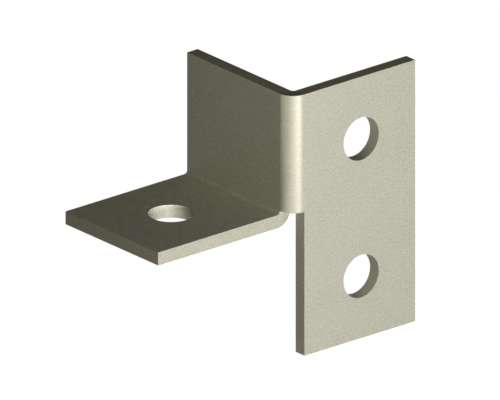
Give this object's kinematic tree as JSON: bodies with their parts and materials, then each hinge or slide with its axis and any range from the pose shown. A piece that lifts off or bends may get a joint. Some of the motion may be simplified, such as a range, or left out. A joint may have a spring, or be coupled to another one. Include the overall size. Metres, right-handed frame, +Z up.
{
  "type": "angle plate",
  "caption": "Folded steel angle plate: an upright post plate with bolt holes, a web square to it, and a level shelf with a bolt hole folded off the foot of the web.",
  "frame": {"origin": "on the back face of the post plate, midway between its two bolt holes", "axes": "+Y out of the back of the post plate, into the post; +Z up along the post plate; +X from the shelf towards the free edge of the post plate"},
  "size_m": [0.091, 0.046, 0.08],
  "materials": {
    "galvanised_steel": "dull galvanised zinc coat with a faint olive cast"
  },
  "bodies": {
    "root": {"folded_plate": "galvanised_steel"}
  },
  "joints": []
}
